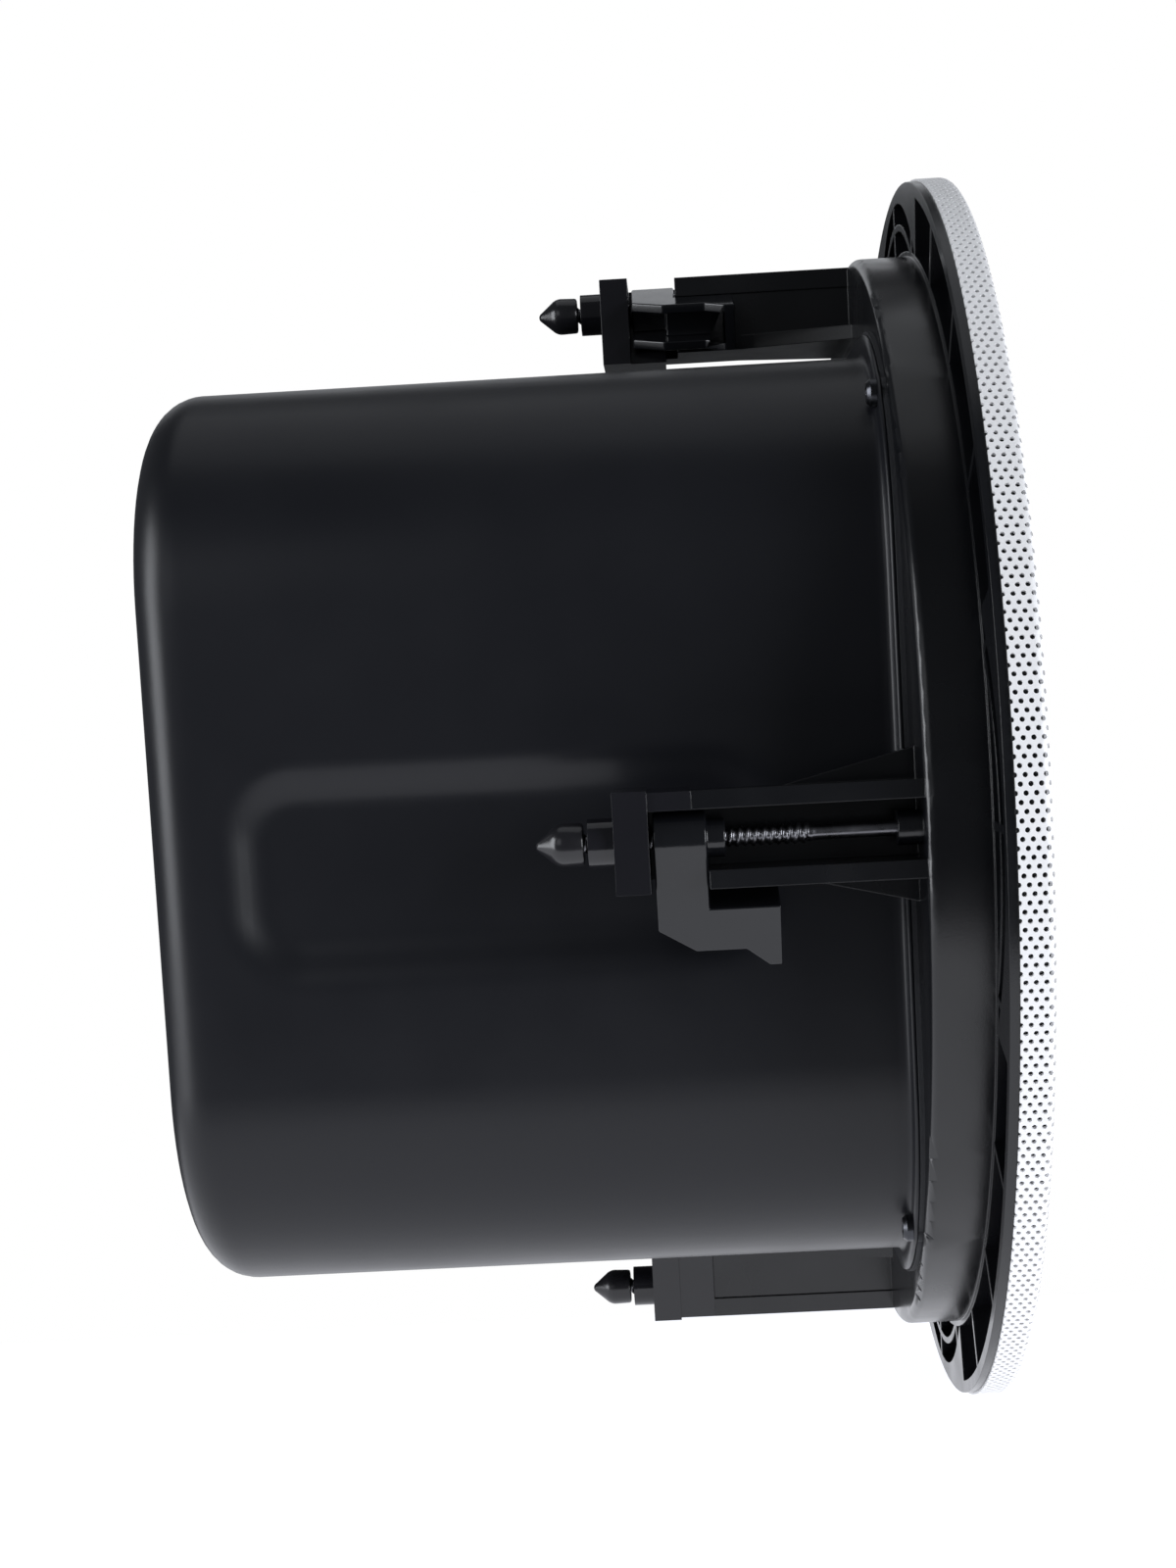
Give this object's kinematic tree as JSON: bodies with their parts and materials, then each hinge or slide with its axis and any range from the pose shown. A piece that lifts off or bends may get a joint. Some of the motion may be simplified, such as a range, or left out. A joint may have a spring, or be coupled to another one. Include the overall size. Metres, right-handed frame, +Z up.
{
  "type": "loudspeaker",
  "caption": "Flush-mount ceiling or wall loudspeaker: steel back can, moulded neck with swing-out clamp dogs on long screws, perforated grille.",
  "frame": {"origin": "on the speaker's axis, in the plane of the flange's rear face that seats on the panel", "axes": "+Y runs back through the neck and the can, -Y is the way the grille faces, +Z is up through the clamp named top, +X is to the right seen from the front"},
  "size_m": [0.3, 0.184, 0.3],
  "materials": {
    "grille_white": "white powder coat on perforated steel",
    "scrim_cloth": "black woven scrim",
    "bezel_abs": "moulded black ABS, fine satin texture",
    "foam_gasket": "closed-cell foam",
    "can_black": "semi-gloss black paint on drawn steel",
    "black_screw": "black zinc",
    "clamp_screw_steel": "blackened rolled steel",
    "tip_plastic": "glossy black nylon",
    "dog_nylon": "moulded black nylon",
    "bracket_abs": "moulded black ABS",
    "basket_paint": "black powder coat",
    "surround_rubber": "butyl rubber",
    "cone_poly": "filled polypropylene",
    "spider_cloth": "resin-dipped cotton",
    "copper_coil": "enamelled copper wire",
    "zinc_iron": "zinc-plated iron",
    "ferrite": "ground ferrite",
    "tag_board": "paper laminate",
    "bright_aluminium": "turned aluminium",
    "board_green": "solder-masked glass-fibre board",
    "capacitor_film": "wrapped film capacitor",
    "resistor_ceramic": "cement ceramic",
    "lead_pvc": "PVC insulated copper",
    "fibre_wadding": "polyester fibre",
    "terminal_green": "moulded nylon"
  },
  "bodies": {
    "frame": {"grille": "grille_white", "grille_cloth": "scrim_cloth", "bezel": "bezel_abs", "can_gasket": "foam_gasket", "back_can": "can_black", "can_screws": "black_screw", "clamp_bracket_left": "bracket_abs", "clamp_bracket_top": "bracket_abs", "clamp_bracket_right": "bracket_abs", "clamp_bracket_bottom": "bracket_abs", "woofer_basket": "basket_paint", "woofer_gasket": "foam_gasket", "surround": "surround_rubber", "spider": "spider_cloth", "top_plate": "zinc_iron", "magnet": "ferrite", "back_plate": "zinc_iron", "woofer_screws": "black_screw", "woofer_terminal": "tag_board", "tweeter_post": "bright_aluminium", "tweeter_cup": "basket_paint", "tweeter_magnet": "zinc_iron", "tweeter_dome": "bright_aluminium", "tweeter_faceplate": "bezel_abs", "crossover_board": "board_green", "board_standoffs": "bright_aluminium", "board_screws": "black_screw", "inductor": "copper_coil", "capacitor_large": "capacitor_film", "capacitor_small": "capacitor_film", "resistor": "resistor_ceramic", "inner_leads": "lead_pvc", "grommet": "surround_rubber", "wadding": "fibre_wadding", "terminal_box": "bezel_abs", "terminal_block": "terminal_green", "box_screws": "black_screw", "safety_eye": "zinc_iron"},
    "screw_left": {"clamp_screw_left": "clamp_screw_steel", "clamp_tip_left": "tip_plastic"},
    "dog_left": {"clamp_dog_left": "dog_nylon"},
    "screw_top": {"clamp_screw_top": "clamp_screw_steel", "clamp_tip_top": "tip_plastic"},
    "dog_top": {"clamp_dog_top": "dog_nylon"},
    "screw_right": {"clamp_screw_right": "clamp_screw_steel", "clamp_tip_right": "tip_plastic"},
    "dog_right": {"clamp_dog_right": "dog_nylon"},
    "screw_bottom": {"clamp_screw_bottom": "clamp_screw_steel", "clamp_tip_bottom": "tip_plastic"},
    "dog_bottom": {"clamp_dog_bottom": "dog_nylon"},
    "cone_assembly": {"cone": "cone_poly", "voice_coil": "copper_coil"}
  },
  "joints": [
    {"name": "screw_turn_left", "type": "hinge", "parent": "frame", "child": "screw_left", "pos_m": [-0.125, 0, 0], "axis": [0, 1, 0], "continuous": true},
    {"name": "dog_swing_left", "type": "hinge", "parent": "frame", "child": "dog_left", "pos_m": [-0.125, 0, 0], "axis": [0, 1, 0], "range_deg": [0, 110]},
    {"name": "screw_turn_top", "type": "hinge", "parent": "frame", "child": "screw_top", "pos_m": [0, 0, 0.125], "axis": [0, 1, 0], "continuous": true},
    {"name": "dog_swing_top", "type": "hinge", "parent": "frame", "child": "dog_top", "pos_m": [0, 0, 0.125], "axis": [0, 1, 0], "range_deg": [0, 110]},
    {"name": "screw_turn_right", "type": "hinge", "parent": "frame", "child": "screw_right", "pos_m": [0.125, 0, 0], "axis": [0, 1, 0], "continuous": true},
    {"name": "dog_swing_right", "type": "hinge", "parent": "frame", "child": "dog_right", "pos_m": [0.125, 0, 0], "axis": [0, 1, 0], "range_deg": [0, 110]},
    {"name": "screw_turn_bottom", "type": "hinge", "parent": "frame", "child": "screw_bottom", "pos_m": [0, 0, -0.125], "axis": [0, 1, 0], "continuous": true},
    {"name": "dog_swing_bottom", "type": "hinge", "parent": "frame", "child": "dog_bottom", "pos_m": [0, 0, -0.125], "axis": [0, 1, 0], "range_deg": [0, 110]},
    {"name": "cone_travel", "type": "slide", "parent": "frame", "child": "cone_assembly", "axis": [0, 1, 0], "range_m": [-0.004, 0.004], "stiffness_N_per_m": 1500, "deforming": ["surround", "spider"]}
  ]
}
